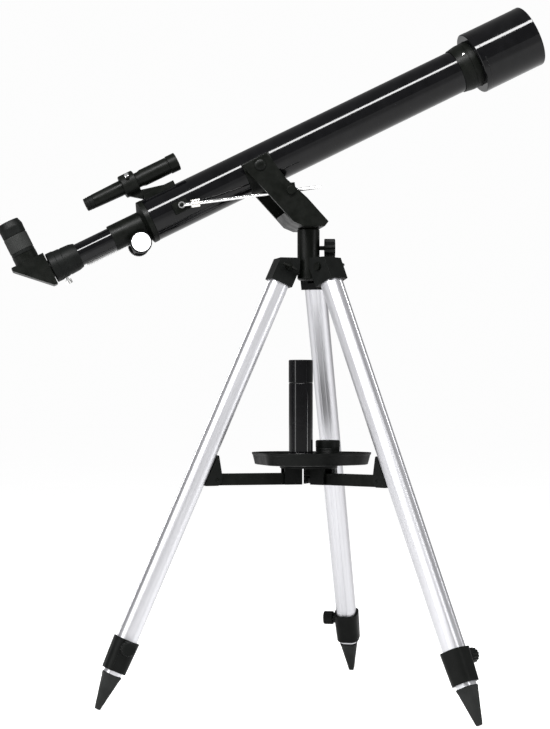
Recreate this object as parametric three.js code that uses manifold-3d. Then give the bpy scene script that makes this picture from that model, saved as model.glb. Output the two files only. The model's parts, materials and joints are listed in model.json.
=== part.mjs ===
// A small refracting telescope on an aluminium tripod with a fork mount, in millimetres, +Z up.
// The tripod's own axis is vertical, and the telescope points along +X, raised by TUBE_ELEVATION.
import * as THREE from 'three';
import { mergeVertices } from 'three/addons/utils/BufferGeometryUtils.js';
import Module from 'manifold-3d';

const wasm = await Module();
wasm.setup();

// ---- driving dimensions ----------------------------------------------------------------------

const GAP = 0.3;                     // running gap between neighbouring pieces
const TUBE_ELEVATION = radians(26.65);
const PIVOT = { x: -74, z: 734 };    // altitude axis, ahead of which the azimuth axis stands at x = 0

const TUBE = { radius: 30, wall: 1.4, rear: -164, front: 342 };
const CELL = { radius: 33.5, rear: 318, front: 352 };
const SHIELD = { radius: 44, wall: 1.8, rear: 345, front: 438 };
const LENS_RADIUS = 29.2;

const FOCUSER = { radius: 18.2, bore: 16.1, flange: -171, rear: -222 };
const DRAWTUBE = { radius: 15.75, wall: 1.6, front: -112, rear: -281 };
const GEAR = { teeth: 12, pitchRadius: 4.5, addendum: 0.7, dedendum: 0.9, width: 6, along: -191 };
const RACK = { front: -128, rear: -268, top: -16.05, root: -17.6, width: 6 };
const KNOB = { radius: 15, inner: 19, outer: 31 };
const COLLAR = { front: -273, rear: -314, radius: 21, bore: 12.5, screwAt: -301 };
const DIAGONAL = { front: -316, rear: -363, half: 23, halfWidth: 17.5, wall: 3 };
const EYEPIECE = { along: -339, radius: 16.9, barrel: 12.2, holderTop: 34, top: 82 };

const FINDER = { height: 57, rear: -222, front: -94, radius: 11.8, ringRear: -178, ringFront: -157 };

const ROD = { radius: 2.3, length: 194.5, side: -36.5, pivotAlong: -120, pivotUp: -2, eyeHalf: 2.2, pin: 1.6 };
const CLAMP = { x: 42, z: -34, slotHalf: 7.2, pin: 2.6 };
const ROD_SLOPE = radians(8.28);     // of the slow-motion rod above the horizontal

const YOKE = { inner: 41.5, outer: 47, bottom: 651.5, spindle: 7.5, spindleBottom: 600 };
const SOCKET = { radius: 15.5, bore: 7.9, bottom: 580, top: 651, floor: 597 };
const AZIMUTH_KNOB = { direction: radians(-8), height: 625, radius: 13, inner: 22, outer: 37, shank: 3 };

const LEG_DIRECTIONS = [-172, -52, 68].map(radians);
const HINGE = { r: 33.7, z: 597 };
const FOOT_CIRCLE = 296;
const LEG_TILT = Math.atan2(FOOT_CIRCLE - HINGE.r, HINGE.z);
const LEG_LENGTH = HINGE.z / Math.cos(LEG_TILT);
const LEG = { wide: 29, deep: 27, corner: 10, wall: 1.5, groove: 8, top: 17.3 };
const INNER_LEG = { wide: 25, deep: 23, corner: 8, wall: 1.4, length: 390 };
const FOOT_LENGTH = 50.6;
const BARE_STRIP = 4.6;              // of inner leg showing between the collar and the foot
const LEG_COLLAR = { wide: 36, deep: 34, corner: 12, length: 44.7, taper: 0.92, over: 16 };
const CAP = { halfWide: 17, halfDeep: 15.8, bottom: 24, top: 610, inner: 17.3, slot: 7, slotBottom: 14 };
const TONGUE = { half: 6.5, radius: 8.5 };

const BRACE = { z: 305, half: 8, width: 12, hubRadius: 27, fromLeg: 26.5 };
const HUB = { radius: 40, bottom: 297, plateBottom: 319.5, top: 323.5 };
const TRAY = { bottom: 324, top: 341, corner: 34, round: 55, wall: 2.6, floor: 3, taper: 0.95 };
const ERECTOR = { x: -12.5, y: -10.5, radius: 16.8, top: 469 };
const SPARE = { x: 28, y: 6, barrel: 12.2, barrelTop: 337, radius: 17, top: 358 };

// ---- finishes --------------------------------------------------------------------------------

const GLOSS_BLACK = new THREE.MeshStandardMaterial({ color: 0x0b0b0d, roughness: 0.15, metalness: 0.1 });
const SATIN_BLACK = new THREE.MeshStandardMaterial({ color: 0x1f211e, roughness: 0.5, metalness: 0.1 });
const BLACK_PLASTIC = new THREE.MeshStandardMaterial({ color: 0x1c1e1d, roughness: 0.6, metalness: 0 });
const RUBBER = new THREE.MeshStandardMaterial({ color: 0x37393a, roughness: 0.8, metalness: 0 });
const ALUMINIUM = new THREE.MeshStandardMaterial({ color: 0xdcdce0, roughness: 0.35, metalness: 0.9 });
const CHROME = new THREE.MeshStandardMaterial({ color: 0xf0ecea, roughness: 0.12, metalness: 1 });
const BRASS = new THREE.MeshStandardMaterial({ color: 0xc9a45c, roughness: 0.3, metalness: 1 });
const GLASS = new THREE.MeshStandardMaterial({ color: 0xaec8d8, roughness: 0.05, metalness: 0, opacity: 0.4 });

// ---- helpers ---------------------------------------------------------------------------------

function radians(degrees) {
  return (degrees * Math.PI) / 180;
}

// A closed solid from any closed three.js geometry, turned right side out.
function solid(geometry) {
  const source = geometry.clone();
  source.deleteAttribute('normal');
  source.deleteAttribute('uv');
  const merged = mergeVertices(source, 1e-4);
  const points = merged.attributes.position.array;
  const corners = Uint32Array.from(merged.index.array);
  if (signedVolume(points, corners) < 0) {
    for (let i = 0; i < corners.length; i += 3) {
      [corners[i], corners[i + 1]] = [corners[i + 1], corners[i]];
    }
  }
  return new wasm.Manifold(new wasm.Mesh({ numProp: 3, vertProperties: points, triVerts: corners }));
}

function signedVolume(points, corners) {
  const [a, b, c] = [new THREE.Vector3(), new THREE.Vector3(), new THREE.Vector3()];
  let volume = 0;
  for (let i = 0; i < corners.length; i += 3) {
    a.fromArray(points, 3 * corners[i]);
    b.fromArray(points, 3 * corners[i + 1]);
    c.fromArray(points, 3 * corners[i + 2]);
    volume += a.dot(b.cross(c)) / 6;
  }
  return volume;
}

function geometryOf(body) {
  const mesh = body.getMesh();
  const geometry = new THREE.BufferGeometry();
  geometry.setAttribute('position', new THREE.BufferAttribute(mesh.vertProperties, 3));
  geometry.setIndex(new THREE.BufferAttribute(mesh.triVerts, 1));
  geometry.computeVertexNormals();
  return geometry;
}

function join(...geometries) {
  return geometryOf(geometries.map(solid).reduce((whole, piece) => whole.add(piece)));
}

function cut(geometry, ...tools) {
  return geometryOf(tools.map(solid).reduce((whole, tool) => whole.subtract(tool), solid(geometry)));
}

function keep(geometry, region) {
  return geometryOf(solid(geometry).intersect(solid(region)));
}

// A box between two corners.
function block([x0, y0, z0], [x1, y1, z1]) {
  return new THREE.BoxGeometry(x1 - x0, y1 - y0, z1 - z0).translate((x0 + x1) / 2, (y0 + y1) / 2, (z0 + z1) / 2);
}

// A solid of revolution about X. The profile is a closed loop of [x, radius] points.
function turned(profile, segments = 32) {
  const loop = [...profile, profile[0]].map(([x, r]) => new THREE.Vector2(r, x));
  const geometry = new THREE.LatheGeometry(loop, segments).rotateZ(-Math.PI / 2);
  return geometryOf(solid(geometry));
}

// The same about Z, from [z, radius] points.
function turnedUpright(profile, segments = 32) {
  return turned(profile, segments).rotateY(-Math.PI / 2);
}

// A cylinder along X, Y or Z, from one coordinate to another along it.
function cylinder(axis, radius, from, to, segments = 20) {
  const geometry = new THREE.CylinderGeometry(radius, radius, to - from, segments);
  geometry.translate(0, (from + to) / 2, 0);
  if (axis === 'x') geometry.rotateZ(-Math.PI / 2);
  if (axis === 'z') geometry.rotateX(Math.PI / 2);
  return geometry;
}

// A closed outline in the XZ plane, given extent along Y.
function plate(points, y0, y1) {
  const shape = new THREE.Shape(points.map(([x, z]) => new THREE.Vector2(x, z)));
  return plateOf(shape, y0, y1);
}

function plateOf(shape, y0, y1, curveSegments = 8) {
  const geometry = new THREE.ExtrudeGeometry(shape, { depth: y1 - y0, bevelEnabled: false, curveSegments });
  return geometry.rotateX(Math.PI / 2).translate(0, y1, 0);
}

// A prism along Z on a shape in the XY plane.
function prism(shape, z0, z1, curveSegments = 4) {
  const geometry = new THREE.ExtrudeGeometry(shape, { depth: z1 - z0, bevelEnabled: false, curveSegments });
  return geometry.translate(0, 0, z0);
}

function roundedRectangle(wide, deep, corner) {
  const [x, y] = [deep / 2, wide / 2];
  const shape = new THREE.Shape();
  shape.absarc(x - corner, y - corner, corner, 0, Math.PI / 2);
  shape.absarc(corner - x, y - corner, corner, Math.PI / 2, Math.PI);
  shape.absarc(corner - x, corner - y, corner, Math.PI, 1.5 * Math.PI);
  shape.absarc(x - corner, corner - y, corner, 1.5 * Math.PI, 2 * Math.PI);
  return shape;
}

// Shrinks a geometry's XY section evenly from full size at zTop to the given share at zBottom.
function tapered(geometry, zTop, zBottom, share) {
  const position = geometry.attributes.position;
  for (let i = 0; i < position.count; i += 1) {
    const t = (zTop - position.getZ(i)) / (zTop - zBottom);
    const scale = 1 + (share - 1) * t;
    position.setXY(i, position.getX(i) * scale, position.getY(i) * scale);
  }
  return geometry;
}

// A knob about X whose rim rises and falls in the given number of ribs.
function gripKnob(radius, from, to, ribs, depth = 1.2) {
  const points = [];
  for (let i = 0; i < 2 * ribs; i += 1) {
    const angle = (Math.PI * i) / ribs;
    const r = i % 2 === 0 ? radius : radius - depth;
    points.push(new THREE.Vector2(r * Math.cos(angle), r * Math.sin(angle)));
  }
  return prism(new THREE.Shape(points), from, to).rotateY(Math.PI / 2);
}

function piece(name, geometry, material, parent) {
  const mesh = new THREE.Mesh(geometry, material);
  mesh.name = name;
  parent.add(mesh);
}

// ---- frames ----------------------------------------------------------------------------------

const telescope = new THREE.Group();

const tube = new THREE.Group();      // X along the optical axis, Z square to it and up
tube.position.set(PIVOT.x, 0, PIVOT.z);
tube.rotation.y = -TUBE_ELEVATION;
telescope.add(tube);

const fork = new THREE.Group();      // upright, on the azimuth axis
telescope.add(fork);

// ---- optical tube ----------------------------------------------------------------------------

function mainTube() {
  const inner = TUBE.radius - TUBE.wall;
  return turned([[TUBE.rear, inner], [TUBE.rear, TUBE.radius], [TUBE.front, TUBE.radius], [TUBE.front, inner]], 40);
}

function objectiveCell() {
  const sleeve = TUBE.radius + GAP;
  const seat = LENS_RADIUS + GAP;
  const lip = TUBE.radius - 2.5;
  return turned([[CELL.rear, sleeve], [CELL.rear, sleeve + 1.2], [CELL.rear + 14, CELL.radius],
    [CELL.front, CELL.radius], [CELL.front, seat], [CELL.rear + 26, seat], [CELL.rear + 26, lip],
    [TUBE.front + GAP, lip], [TUBE.front + GAP, sleeve]], 40);
}

function objectiveLens() {
  const edge = CELL.rear + 26 + GAP;
  const thick = 5;
  const front = arcPoints(edge + thick, LENS_RADIUS, 1.4);
  const back = arcPoints(edge, LENS_RADIUS, 0).reverse();
  return turned([...back, ...front.slice(0, -1), [edge + thick + 1.4, 0]], 32);
}

// Points of a shallow dome from the rim at x to the axis, bulging by the given height.
function arcPoints(x, radius, bulge) {
  const steps = 3;
  const points = [];
  for (let i = 0; i <= steps; i += 1) {
    const r = radius * (1 - i / steps);
    points.push([x + bulge * (1 - (r / radius) ** 2), r]);
  }
  return points;
}

function dewShield() {
  const inner = SHIELD.radius - SHIELD.wall;
  const hole = CELL.radius + GAP;
  return turned([[SHIELD.rear, hole], [SHIELD.rear, SHIELD.radius - 1], [SHIELD.rear + 1, SHIELD.radius],
    [SHIELD.front - 0.6, SHIELD.radius], [SHIELD.front, SHIELD.radius - 0.6], [SHIELD.front, inner],
    [SHIELD.rear + 3, inner], [SHIELD.rear + 3, hole]], 40);
}

piece('main_tube', mainTube(), GLOSS_BLACK, tube);
piece('objective_cell', objectiveCell(), SATIN_BLACK, tube);
piece('objective_lens', objectiveLens(), GLASS, tube);
piece('dew_shield', dewShield(), GLOSS_BLACK, tube);

// ---- focuser ---------------------------------------------------------------------------------

const GEAR_HEIGHT = RACK.root - GEAR.dedendum - GEAR.pitchRadius;
const TOOTH_PITCH = (2 * Math.PI * GEAR.pitchRadius) / GEAR.teeth;

function focuserBody() {
  const plug = TUBE.radius - TUBE.wall - GAP;
  const shoulder = TUBE.rear - GAP;
  const barrel = turned([[shoulder + 14, FOCUSER.bore], [shoulder + 14, plug], [shoulder, plug],
    [shoulder, TUBE.radius + 0.5], [FOCUSER.flange, TUBE.radius + 0.5], [FOCUSER.flange - 5, FOCUSER.radius],
    [FOCUSER.rear, FOCUSER.radius], [FOCUSER.rear, FOCUSER.bore]], 36);
  const housing = block([GEAR.along - 12, -11, -31], [GEAR.along + 12, 11, -15]);
  const bore = cylinder('x', FOCUSER.bore, FOCUSER.rear - 2, shoulder + 16, 36);
  const rackWay = block([FOCUSER.rear - 1, -3.6, -20], [shoulder + 15, 3.6, -10]);
  const gearWay = cylinder('y', 5.7, -12, 12, 24).translate(GEAR.along, 0, GEAR_HEIGHT);
  return cut(join(barrel, housing), bore, rackWay, gearWay);
}

function drawtube() {
  const inner = DRAWTUBE.radius - DRAWTUBE.wall;
  return turned([[DRAWTUBE.rear, inner], [DRAWTUBE.rear, DRAWTUBE.radius], [DRAWTUBE.front, DRAWTUBE.radius],
    [DRAWTUBE.front, inner]], 36);
}

// The rack's teeth are cut so that one gap stands square above the gear.
function rack() {
  const tip = RACK.root - GEAR.dedendum - GEAR.addendum;
  const base = 0.44 * TOOTH_PITCH;
  const crest = 0.2 * TOOTH_PITCH;
  const outline = [[RACK.front, RACK.root], [RACK.front, RACK.top], [RACK.rear, RACK.top], [RACK.rear, RACK.root]];
  const first = Math.ceil((RACK.rear - GEAR.along) / TOOTH_PITCH);
  const last = Math.floor((RACK.front - GEAR.along) / TOOTH_PITCH) - 1;
  for (let i = first; i <= last; i += 1) {
    const middle = GEAR.along + (i + 0.5) * TOOTH_PITCH;
    outline.push([middle - base / 2, RACK.root], [middle - crest / 2, tip], [middle + crest / 2, tip],
      [middle + base / 2, RACK.root]);
  }
  return plate(outline, -RACK.width / 2, RACK.width / 2);
}

function gearAndShaft() {
  const root = GEAR.pitchRadius - GEAR.dedendum - 0.1;
  const tip = GEAR.pitchRadius + GEAR.addendum - 0.1;
  const step = (2 * Math.PI) / GEAR.teeth;
  const outline = [];
  for (let i = 0; i < GEAR.teeth; i += 1) {
    const middle = Math.PI / 2 + i * step;
    for (const [share, radius] of [[-0.2, root], [-0.085, tip], [0.085, tip], [0.2, root]]) {
      const angle = middle + share * step;
      outline.push([radius * Math.cos(angle), radius * Math.sin(angle)]);
    }
  }
  const gear = plate(outline, -GEAR.width / 2, GEAR.width / 2);
  return join(gear, cylinder('y', 2.5, -(KNOB.outer - 4), KNOB.outer - 4)).translate(GEAR.along, 0, GEAR_HEIGHT);
}

// One focusing knob: a ribbed rim with a raised face, bored for the shaft.
function focusKnob(side) {
  const rim = gripKnob(KNOB.radius, KNOB.inner, KNOB.outer - 2, 24, 0.8);
  const face = cylinder('x', KNOB.radius - 2, KNOB.outer - 3, KNOB.outer, 36);
  const bore = cylinder('x', 2.8, KNOB.inner - 1, KNOB.outer - 3.6);
  const knob = cut(join(rim, face), bore);
  return knob.rotateZ((side * Math.PI) / 2).translate(GEAR.along, 0, GEAR_HEIGHT);
}

function drawtubeCollar() {
  const sleeve = DRAWTUBE.radius + GAP;
  const inside = DRAWTUBE.rear - GAP;
  const collar = turned([[COLLAR.front, sleeve], [COLLAR.front, 17.5], [COLLAR.front - 7, 19.2],
    [COLLAR.rear + 10, 20.2], [COLLAR.rear + 9, COLLAR.radius], [COLLAR.rear, COLLAR.radius],
    [COLLAR.rear, COLLAR.bore], [inside, COLLAR.bore], [inside, sleeve]], 32);
  return cut(collar, cylinder('z', 2.1, -25, -8).translate(COLLAR.screwAt, 0, 0));
}

// A small thumbscrew whose tip is at the origin and whose head stands along +X.
function thumbscrew(shank, reach, headRadius, headLength, scallops = 10) {
  return join(cylinder('x', shank, 0, reach + 1, 14), gripKnob(headRadius, reach, reach + headLength, scallops, 0.7));
}

function collarScrew() {
  const screw = thumbscrew(1.8, 11, 4.6, 6);
  return screw.rotateY(Math.PI / 2).translate(COLLAR.screwAt, 0, -COLLAR.bore - GAP);
}

piece('focuser_body', focuserBody(), SATIN_BLACK, tube);
piece('drawtube', drawtube(), GLOSS_BLACK, tube);
piece('focus_rack', rack(), CHROME, tube);
piece('focus_pinion', gearAndShaft(), BRASS, tube);
piece('focus_knob_right', focusKnob(-1), BLACK_PLASTIC, tube);
piece('focus_knob_left', focusKnob(1), BLACK_PLASTIC, tube);
piece('drawtube_collar', drawtubeCollar(), BLACK_PLASTIC, tube);
piece('collar_screw', collarScrew(), CHROME, tube);

// ---- star diagonal and eyepiece --------------------------------------------------------------

// The housing's outline in the tube's XZ plane, drawn in from the outside by the given amount.
function diagonalOutline(inset) {
  const [front, rear, half] = [DIAGONAL.front - inset, DIAGONAL.rear + inset, DIAGONAL.half - inset];
  const flat = 5;
  const slant = inset * 0.41;
  return [[front, -half + slant], [front, half], [rear, half], [rear, half - flat + slant],
    [front - flat, -half + slant]];
}

function diagonalHousing() {
  const middle = EYEPIECE.along;
  const nose = cylinder('x', 12.2, DIAGONAL.front - 1, COLLAR.rear + 28, 32);
  const holder = cylinder('z', EYEPIECE.radius, DIAGONAL.half - 1, EYEPIECE.holderTop, 32).translate(middle, 0, 0);
  const shell = plate(diagonalOutline(0), -DIAGONAL.halfWidth, DIAGONAL.halfWidth);
  const cavityHalf = DIAGONAL.halfWidth - DIAGONAL.wall;
  const cavity = plate(diagonalOutline(DIAGONAL.wall), -cavityHalf, cavityHalf);
  const noseBore = cylinder('x', 10.6, DIAGONAL.front - 6, COLLAR.rear + 30, 32);
  const holderBore = cylinder('z', 12.5, DIAGONAL.half - 6, EYEPIECE.holderTop + 1, 32).translate(middle, 0, 0);
  return cut(join(shell, nose, holder), cavity, noseBore, holderBore);
}

// A right-angled prism whose long face lies along the housing's sloping back.
function diagonalPrism() {
  const inset = DIAGONAL.wall + 0.4;
  const [, , , backTop, backLow] = diagonalOutline(inset);
  const corner = [backLow[0], backTop[1]];
  return plate([backTop, backLow, corner], -12.5, 12.5);
}

function eyepieceBody() {
  const { along, radius, barrel, holderTop, top } = EYEPIECE;
  const grip = holderTop + GAP;
  const outer = [[DIAGONAL.half - 1, barrel], [grip, barrel], [grip, radius - 1], [grip + 1, radius],
    [top - 8, radius], [top, radius - 3]];
  const inner = [[top, 8], [top - 6, 7], [top - 6, 9], [DIAGONAL.half - 1, 9]];
  return turnedUpright([...outer, ...inner], 36).translate(along, 0, 0);
}

function eyeLens() {
  const top = EYEPIECE.top - 6 - GAP;
  return turnedUpright([[top - 4, 0], [top - 4, 8.7], [top - 1, 8.7], [top, 0]], 32).translate(EYEPIECE.along, 0, 0);
}

piece('diagonal_housing', diagonalHousing(), SATIN_BLACK, tube);
piece('diagonal_prism', diagonalPrism(), GLASS, tube);
piece('eyepiece', eyepieceBody(), BLACK_PLASTIC, tube);
piece('eyepiece_lens', eyeLens(), GLASS, tube);

// ---- finder ----------------------------------------------------------------------------------

function finderTube() {
  const { front, rear, radius } = FINDER;
  return turned([[rear, 8], [rear, 9.6], [FINDER.ringRear - 4, 10.6], [FINDER.ringFront + 6, 10.6],
    [FINDER.ringFront + 10, radius], [front - 14, radius], [front - 13, 12.7], [front, 12.7],
    [front, 11.2], [front - 8, 11.2], [front - 8, 8]], 28).translate(0, 0, FINDER.height);
}

function finderLens() {
  const rim = FINDER.front - 8 + GAP;
  return turned([[rim, 0], [rim, 10.9], [rim + 2, 10.9], [rim + 3, 0]], 32).translate(0, 0, FINDER.height);
}

function finderEyepiece() {
  const rear = FINDER.rear - 12;
  return turned([[rear, 4], [rear, 8.6], [rear + 1, 9.4], [FINDER.rear - GAP, 9.4], [FINDER.rear - GAP, 7.7],
    [FINDER.rear + 10, 7.7], [FINDER.rear + 10, 4]], 28).translate(0, 0, FINDER.height);
}

// A ring round the finder on a web that leans forward to a saddle on the tube.
function finderBracket() {
  const { height, ringRear, ringFront } = FINDER;
  const ring = turned([[ringRear, 11.2], [ringRear, 15], [ringRear + 1, 16], [ringFront - 1, 16], [ringFront, 15],
    [ringFront, 11.2]], 36).translate(0, 0, height);
  const web = plate([[ringRear + 2, height - 14], [ringFront, height - 14], [-118, 34], [-116, 28], [-156, 28]], -4, 4);
  const saddle = block([-158, -12, 24], [-112, 12, 35]);
  const bore = cylinder('x', 11.2, ringRear - 2, ringFront + 2, 36).translate(0, 0, height);
  const seat = cylinder('x', TUBE.radius + GAP, -170, -100, 40);
  const screwHole = onFinderRing(cylinder('x', 1.9, 8, 20, 14));
  return cut(join(ring, web, saddle), bore, seat, screwHole);
}

// Stands a piece made along +X on the finder's ring, leaning to the right of upright.
function onFinderRing(geometry) {
  const middle = (FINDER.ringRear + FINDER.ringFront) / 2;
  return geometry.rotateY(-Math.PI / 2).rotateX(radians(60)).translate(middle, 0, FINDER.height);
}

function finderScrew() {
  return onFinderRing(thumbscrew(1.6, 7, 3.6, 5, 8).translate(10.6 + GAP, 0, 0));
}

piece('finder_tube', finderTube(), GLOSS_BLACK, tube);
piece('finder_lens', finderLens(), GLASS, tube);
piece('finder_eyepiece', finderEyepiece(), BLACK_PLASTIC, tube);
piece('finder_bracket', finderBracket(), SATIN_BLACK, tube);
piece('finder_screw', finderScrew(), CHROME, tube);

// ---- altitude axis and slow motion -----------------------------------------------------------

const SADDLE = { half: 21, top: 12, thick: 3, bossRadius: 9, bossEnd: 41.1, screwBore: 4.2 };

// A half shell under the tube with a boss on each side that the pivot screws go into.
function tubeSaddle() {
  const inner = TUBE.radius + GAP;
  const shell = cylinder('x', inner + SADDLE.thick, -SADDLE.half, SADDLE.half, 40);
  const lower = keep(shell, block([-SADDLE.half - 1, -40, -40], [SADDLE.half + 1, 40, SADDLE.top]));
  const bosses = cylinder('y', SADDLE.bossRadius, -SADDLE.bossEnd, SADDLE.bossEnd, 24);
  const hollow = cylinder('x', inner, -SADDLE.half - 2, SADDLE.half + 2, 40);
  const screwHoles = cylinder('y', SADDLE.screwBore, -50, 50, 20);
  return cut(join(lower, bosses), hollow, screwHoles);
}

function pivotScrew(side) {
  const [head, end] = [YOKE.outer + GAP, TUBE.radius + 1];
  const shank = cylinder('x', 3.8, end, head + 1);
  const dome = turned([[head, 0], [head, 8], [head + 1.2, 8], [head + 3, 5.5], [head + 3.4, 0]], 28);
  return join(shank, dome).rotateZ((side * Math.PI) / 2);
}

// The block on the tube's side, with the headed pin that the slow-motion rod swivels on.
function rodBracket() {
  const face = ROD.side + ROD.eyeHalf + GAP;
  const headFace = ROD.side - ROD.eyeHalf - GAP;
  const body = block([-12, face, -9], [10, -22, 7]);
  const pin = cylinder('y', ROD.pin, headFace - 1, face + 1, 16);
  const head = cylinder('y', ROD.pin + 1.4, headFace - 0.8, headFace, 16);
  const bracket = join(body, pin, head).translate(ROD.pivotAlong, 0, ROD.pivotUp);
  return cut(bracket, cylinder('x', TUBE.radius + GAP, -150, -100, 40));
}

// Lays a piece made along X from the rod's swivel into the tube's frame.
function alongRod(geometry) {
  return geometry.rotateY(TUBE_ELEVATION - ROD_SLOPE).translate(ROD.pivotAlong, ROD.side, ROD.pivotUp);
}

function altitudeRod() {
  const shaft = turned([[0, 0], [0, ROD.radius], [ROD.length - 2, ROD.radius], [ROD.length, ROD.radius - 1],
    [ROD.length, 0]], 16);
  const eye = cylinder('y', 4.6, -ROD.eyeHalf, ROD.eyeHalf, 18);
  const pinHole = cylinder('y', ROD.pin + GAP, -5, 5, 16);
  return alongRod(cut(join(shaft, eye), pinHole));
}

function slowMotionNut() {
  const nut = gripKnob(5.4, 13, 25, 12, 0.6);
  return alongRod(cut(nut, cylinder('x', ROD.radius + GAP, 10, 26, 16)));
}

// The rod passes through this block's tall slot. The block turns on a pin in the fork's right arm.
function rodClamp() {
  const { side, radius } = ROD;
  const [inner, outer] = [side + 5, -YOKE.inner + GAP];
  const body = block([-8, outer, -CLAMP.slotHalf - 3.5], [8, inner, CLAMP.slotHalf + 3.5]);
  const slot = block([-10, side - radius - 0.4, -CLAMP.slotHalf], [10, side + radius + 0.4, CLAMP.slotHalf]);
  const pin = cylinder('y', CLAMP.pin, -YOKE.outer - 1, outer + 0.8);
  const head = cylinder('y', 6, -YOKE.outer - 4, -YOKE.outer - GAP, 24);
  return join(cut(body, slot), pin, head).rotateY(-ROD_SLOPE).translate(PIVOT.x + CLAMP.x, 0, PIVOT.z + CLAMP.z);
}

piece('tube_saddle', tubeSaddle(), SATIN_BLACK, tube);
piece('pivot_screw_right', pivotScrew(-1), SATIN_BLACK, fork);
piece('pivot_screw_left', pivotScrew(1), SATIN_BLACK, fork);
for (const side of fork.children) side.geometry.translate(PIVOT.x, 0, PIVOT.z);
piece('rod_bracket', rodBracket(), SATIN_BLACK, tube);
piece('altitude_rod', altitudeRod(), CHROME, tube);
piece('slow_motion_nut', slowMotionNut(), CHROME, tube);
piece('rod_clamp', rodClamp(), SATIN_BLACK, fork);

// ---- fork mount ------------------------------------------------------------------------------

// Each arm leans back from the base to the altitude axis.
const ARM_OUTLINE = [[-99, 732], [-65, 750], [-38.5, 716], [-9, 690], [20.4, 658], [15.5, YOKE.bottom],
  [-14.4, YOKE.bottom], [-28, 657], [-62, 694]];
const BASE_OUTLINE = [[11, 669], [20.4, 658], [15.5, YOKE.bottom], [-14.4, YOKE.bottom], [-28, 657], [-40, 669]];

function yoke() {
  const arms = [-1, 1].map((side) => {
    const [y0, y1] = [side * YOKE.inner, side * YOKE.outer].sort((a, b) => a - b);
    return plate(ARM_OUTLINE, y0, y1);
  });
  const base = plate(BASE_OUTLINE, -YOKE.inner - 1, YOKE.inner + 1);
  const spindle = cylinder('z', YOKE.spindle, YOKE.spindleBottom, YOKE.bottom + 2, 32);
  const screwHole = cylinder('y', 4.2, -50, 50, 20).translate(PIVOT.x, 0, PIVOT.z);
  const clampHole = cylinder('y', CLAMP.pin + GAP, -50, -30).translate(PIVOT.x + CLAMP.x, 0, PIVOT.z + CLAMP.z);
  return cut(join(...arms, base, spindle), screwHole, clampHole);
}

function azimuthKnob() {
  const { direction, height, radius, inner, outer, shank } = AZIMUTH_KNOB;
  const knob = join(cylinder('x', shank, YOKE.spindle + 2 * GAP, inner + 2), gripKnob(radius, inner, outer, 12, 1.6));
  return knob.rotateZ(direction).translate(0, 0, height);
}

piece('yoke', yoke(), SATIN_BLACK, fork);
piece('azimuth_knob', azimuthKnob(), BLACK_PLASTIC, fork);

// ---- tripod head -----------------------------------------------------------------------------

function tripodHead() {
  const { radius, bore, bottom, top, floor } = SOCKET;
  const socket = turnedUpright([[bottom, 0], [bottom, radius - 2], [bottom + 2, radius], [top - 1, radius],
    [top, radius - 1], [top, bore], [floor, bore], [floor, 0]], 32);
  const tongues = LEG_DIRECTIONS.map((direction) => {
    const bar = block([6, -TONGUE.half, HINGE.z - TONGUE.radius], [HINGE.r, TONGUE.half, HINGE.z + TONGUE.radius]);
    const end = cylinder('y', TONGUE.radius, -TONGUE.half, TONGUE.half, 24).translate(HINGE.r, 0, HINGE.z);
    return join(bar, end).rotateZ(direction);
  });
  const boltHoles = LEG_DIRECTIONS.map((direction) =>
    cylinder('y', 3.2, -TONGUE.half - 2, TONGUE.half + 2).translate(HINGE.r, 0, HINGE.z).rotateZ(direction));
  const refill = cylinder('z', bore, floor, top + 2, 32);
  const knobHole = cylinder('x', AZIMUTH_KNOB.shank + GAP, 4, 20).rotateZ(AZIMUTH_KNOB.direction).translate(0, 0, AZIMUTH_KNOB.height);
  return cut(join(socket, ...tongues), ...boltHoles, refill, knobHole);
}

piece('tripod_head', tripodHead(), SATIN_BLACK, telescope);

// ---- legs ------------------------------------------------------------------------------------
// A leg is made upright under its hinge: X outward, Y sideways, Z up the leg. It is then leaned out.

const FOOT_TOP = LEG_LENGTH - FOOT_LENGTH;
const COLLAR_BOTTOM = FOOT_TOP - BARE_STRIP;
const COLLAR_TOP = COLLAR_BOTTOM - LEG_COLLAR.length;
const LEG_END = COLLAR_BOTTOM - LEG_COLLAR.over;
const LOCK_AT = COLLAR_TOP + 10;
const [COS_TILT, SIN_TILT] = [Math.cos(LEG_TILT), Math.sin(LEG_TILT)];

// A point at radius r and height z, as [outward, up] from the hinge in the leaning leg's own frame.
function inLegFrame(r, z) {
  const [dr, dz] = [r - HINGE.r, z - HINGE.z];
  return [dr * COS_TILT + dz * SIN_TILT, dz * COS_TILT - dr * SIN_TILT];
}

function legCap() {
  const { halfWide, halfDeep, bottom, top, inner, slot, slotBottom } = CAP;
  const outerTop = [halfDeep, (top - HINGE.z - halfDeep * SIN_TILT) / COS_TILT];
  const innerEdge = [-halfDeep, (inner - HINGE.r + halfDeep * COS_TILT) / -SIN_TILT];
  const outline = [[halfDeep, -bottom], outerTop, inLegFrame(inner, top), innerEdge, [-halfDeep, -bottom]];
  const tongueSlot = block([-60, -slot, -slotBottom], [halfDeep - 4.5, slot, 60]);
  const pocket = prism(roundedRectangle(LEG.wide + 2 * GAP, LEG.deep + 2 * GAP, LEG.corner), -bottom - 1, -LEG.top + GAP);
  const bolt = cylinder('y', 3.2, -40, 40);
  return cut(plate(outline, -halfWide, halfWide), tongueSlot, pocket, bolt);
}

// Hinge bolt with a round head on one side and a wing nut on the other.
function hingeBolt() {
  const { halfWide } = CAP;
  const shank = cylinder('y', 2.9, -halfWide - 1, 27, 16);
  const head = cylinder('y', 5.5, -halfWide - 3.5, -halfWide - GAP, 18);
  const boss = cylinder('y', 5, halfWide + GAP, halfWide + 7, 18);
  const wings = [-1, 1].map((side) =>
    plate([[side * 2, -3.2], [side * 11, 0], [side * 12, 4.5], [side * 3, 3]], -1.3, 1.3));
  const spread = wings.map((wing) => wing.rotateX(Math.PI / 2).translate(0, halfWide + 9, 0));
  return join(shank, head, boss, ...spread);
}

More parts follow.
